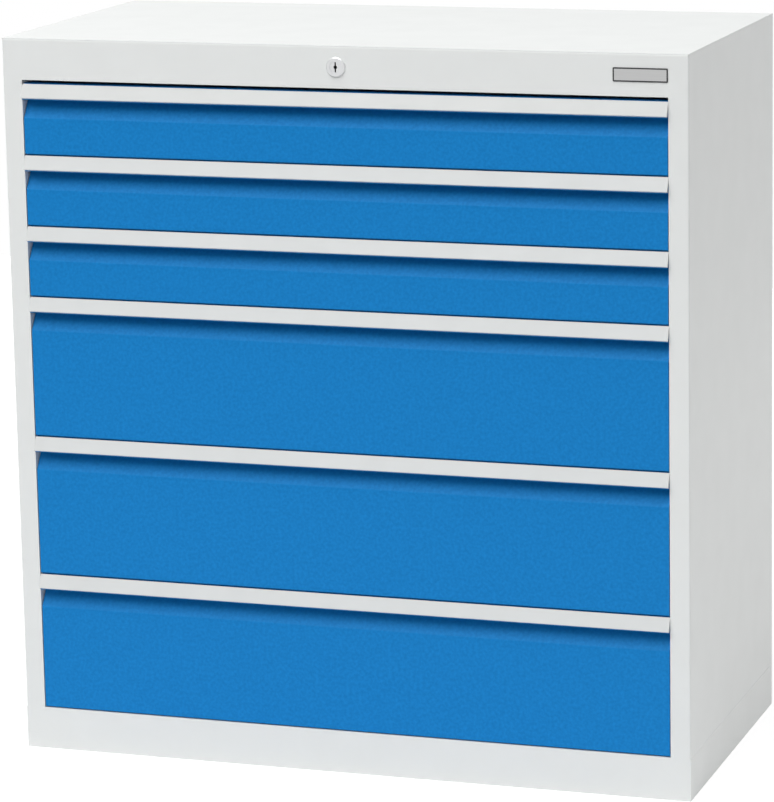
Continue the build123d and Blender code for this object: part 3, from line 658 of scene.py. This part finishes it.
# %% [markdown]
# ## Screw heads on the back
#
# The back panel is fixed to the side panels' flanges with pan-head screws. Only the
# heads show: a shallow dome with a small socket. The profile goes from the rim over
# the dome and down into the socket, so the recess is real geometry. A head is turned
# about the upright axis and then laid back, with its height along the depth. Swapping
# two axes alone would turn it inside out, so the remaining one is mirrored with them.

# %% One pan head with a socket
# Radius and height in mm: base, rim, shoulder, dome, mouth and floor of the socket.
HEAD_PROFILE = np.array([
    (0, 0), (3.6, 0), (3.6, 0.7), (3.2, 1.3), (2.3, 1.75), (1.2, 1.9), (1.08, 0.7), (0, 0.7),
]) * MM
HEAD_STEPS = 24

head_points, head_faces = turned(HEAD_PROFILE[:, 0], HEAD_PROFILE[:, 1], HEAD_STEPS)
laid_back = head_points[:, [0, 2, 1]] * (-1, 1, 1)
print("faces of a head:", len(head_faces))

# %% Two rows of heads on the back panel
HEADS_PER_SIDE = 5
SIDE_INSET = 8 * MM
END_INSET = 40 * MM

back_low, back_high = (np.array(corner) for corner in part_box("back_panel"))
head_x = (back_low[0] + SIDE_INSET, back_high[0] - SIDE_INSET)
head_z = np.linspace(back_low[2] + END_INSET, back_high[2] - END_INSET, HEADS_PER_SIDE)
x, z = np.meshgrid(head_x, head_z)
places = np.stack([x.ravel(), np.full(x.size, back_high[1]), z.ravel()], -1)
points, faces = copies(laid_back, head_faces, places)
piece(
    "back_screw_heads", points, faces, zinc_across,
    body="housing", smooth=False,
)
print("screw heads:", len(places))

# %% [markdown]
# ## Floor and background
#
# The picture has a pure white ground without a horizon. Paper would do it in a studio.
# Here the floor and the world look white to the camera and to mirrors, while the
# light that they throw back at the object is that of a real studio: a wide sweep of
# white paper under a dim room. The paper lights the fronts steeply from below and
# leaves the finger recesses dark, and their soft dark shadow is what tells the eye
# that the fronts are shaped. For the camera the floor near the cabinet is a little
# less bright by itself, so that the cabinet's own shadow shows.


# %% Who looks: camera and mirrors, or light on its way
def looking(tree):
    """1 for camera, glossy and transmission rays, 0 for the rays that carry light."""
    path = add_node(tree, "ShaderNodeLightPath")
    kinds = [path.outputs[f"Is {kind} Ray"] for kind in ("Camera", "Glossy", "Transmission")]
    two = add_node(
        tree, "ShaderNodeMath", {"operation": "MAXIMUM"}, i0=kinds[0], i1=kinds[1]
    )
    three = add_node(
        tree, "ShaderNodeMath", {"operation": "MAXIMUM"}, i0=two.outputs["Value"], i1=kinds[2]
    )
    return three.outputs["Value"]


# %% Paper as the camera sees it
FIBRE_SIZE = 3 * MM
SHADOW_NEAR, SHADOW_FAR = 0.9, 2.4
GLOW_NEAR, GLOW_FAR = 0.84, 1.0

floor_paper, tree, shader, place = new_material("white_studio_paper")
fibre = add_node(tree, "ShaderNodeTexNoise", Vector=place, Scale=1 / FIBRE_SIZE, Detail=2.0)
tint = mix_colours(tree, fibre.outputs["Fac"], colour("#8A8A8A"), colour("#868686"))
tree.links.new(tint, shader.inputs["Base Color"])
shader.inputs["Roughness"].default_value = 0.9
shader.inputs["Specular IOR Level"].default_value = 0.0
reach = add_node(tree, "ShaderNodeVectorMath", {"operation": "LENGTH"}, i0=place)
glow_level = add_node(
    tree, "ShaderNodeMapRange", Value=reach.outputs["Value"],
    From_Min=SHADOW_NEAR, From_Max=SHADOW_FAR, To_Min=GLOW_NEAR, To_Max=GLOW_FAR,
)
glow = add_node(tree, "ShaderNodeEmission", Strength=glow_level.outputs["Result"])
bright = add_node(
    tree, "ShaderNodeAddShader", i0=shader.outputs["BSDF"], i1=glow.outputs["Emission"]
)
print("glow of the paper:", GLOW_NEAR, "to", GLOW_FAR)

# %% Paper as it throws light back
PAPER_NEAR, PAPER_FAR = 1.2, 2.0

paper_edge = add_node(
    tree, "ShaderNodeMapRange", Value=reach.outputs["Value"],
    From_Min=PAPER_NEAR, From_Max=PAPER_FAR,
)
thrown = mix_colours(tree, paper_edge.outputs["Result"], colour("#F4F4F4"), colour("#E2E2E2"))
bounce = add_node(tree, "ShaderNodeBsdfDiffuse", Color=thrown)
paper = add_node(
    tree, "ShaderNodeMixShader",
    i0=looking(tree), i1=bounce.outputs["BSDF"], i2=bright.outputs["Shader"],
)
output = next(node for node in tree.nodes if node.type == "OUTPUT_MATERIAL")
tree.links.new(paper.outputs["Shader"], output.inputs["Surface"])
print("paper wired")

# %% Floor
FLOOR_HALF = 3.5

floor_mesh = bpy.data.meshes.new("studio_floor")
corners = np.array([(-1, -1, 0), (1, -1, 0), (1, 1, 0), (-1, 1, 0)]) * FLOOR_HALF
floor_mesh.from_pydata(corners.tolist(), [], [(0, 1, 2, 3)])
floor_mesh.materials.append(floor_paper)
studio_floor = bpy.data.objects.new("studio_floor", floor_mesh)
scene.collection.objects.link(studio_floor)
print("floor width in m:", 2 * FLOOR_HALF)

# %% White world for camera and mirrors, dim room for light
ROOM_LEVEL = 0.11

world = bpy.data.worlds.new("studio_world")
scene.world = world
world.use_nodes = True
tree = world.node_tree
tree.nodes.clear()
room = add_node(
    tree, "ShaderNodeBackground", Color=colour("#FFFFFF"), Strength=ROOM_LEVEL
)
white = add_node(tree, "ShaderNodeBackground", Color=colour("#FFFFFF"), Strength=1.0)
ground = add_node(
    tree, "ShaderNodeMixShader",
    i0=looking(tree), i1=room.outputs["Background"], i2=white.outputs["Background"],
)
add_node(tree, "ShaderNodeOutputWorld", Surface=ground.outputs["Shader"])
print("room level:", ROOM_LEVEL)

# %% [markdown]
# ## Soft boxes
#
# A catalogue shot is lit by large soft boxes. The main one stands high in front, so
# that each grip strip throws a soft shadow into the recess below it. A low one fills
# in from the front, and two stand low at the rear corners to light the sides and the
# back. None stands straight behind, where the roof would mirror it. All are far away and
# large, which keeps the light even from top to plinth. Their power comes from the
# level wanted at the cabinet: a lamp of power P at distance d lights a surface
# that faces it as much as P / (pi squared times d squared), where 1 shows a colour
# as it is written.


# %% Lamps set by the level they give
LAMP_DISTANCE = 9.0


def soft_box(name, azimuth, elevation, width, level):
    """Square lamp aimed at the cabinet's middle: azimuth 0 is the front, 90 the right."""
    turn, rise = np.radians((azimuth, elevation))
    away = np.array([np.sin(turn) * np.cos(rise), -np.cos(turn) * np.cos(rise), np.sin(rise)])
    target = np.array([0, 0, high[2] / 2])
    lamp = bpy.data.lights.new(name, "AREA")
    lamp.shape = "SQUARE"
    lamp.size = width
    lamp.energy = level * (np.pi * LAMP_DISTANCE) ** 2
    box = bpy.data.objects.new(name, lamp)
    aim = Vector(-away).to_track_quat("-Z", "Y").to_matrix().to_4x4()
    box.matrix_world = Matrix.Translation(target + LAMP_DISTANCE * away) @ aim
    scene.collection.objects.link(box)
    print(name, "power in W:", round(lamp.energy, 1))


soft_box("box_main", azimuth=-20, elevation=58, width=8.0, level=1.09)
soft_box("box_front", azimuth=10, elevation=24, width=6.0, level=0.14)
soft_box("box_right_rear", azimuth=120, elevation=20, width=8.0, level=0.39)
soft_box("box_left_rear", azimuth=-120, elevation=20, width=8.0, level=0.38)

# %% [markdown]
# ## Last settings
#
# The colours were written to be shown as they are, so the view transform is the plain
# one.

# %% Plain view
scene.view_settings.view_transform = "Standard"
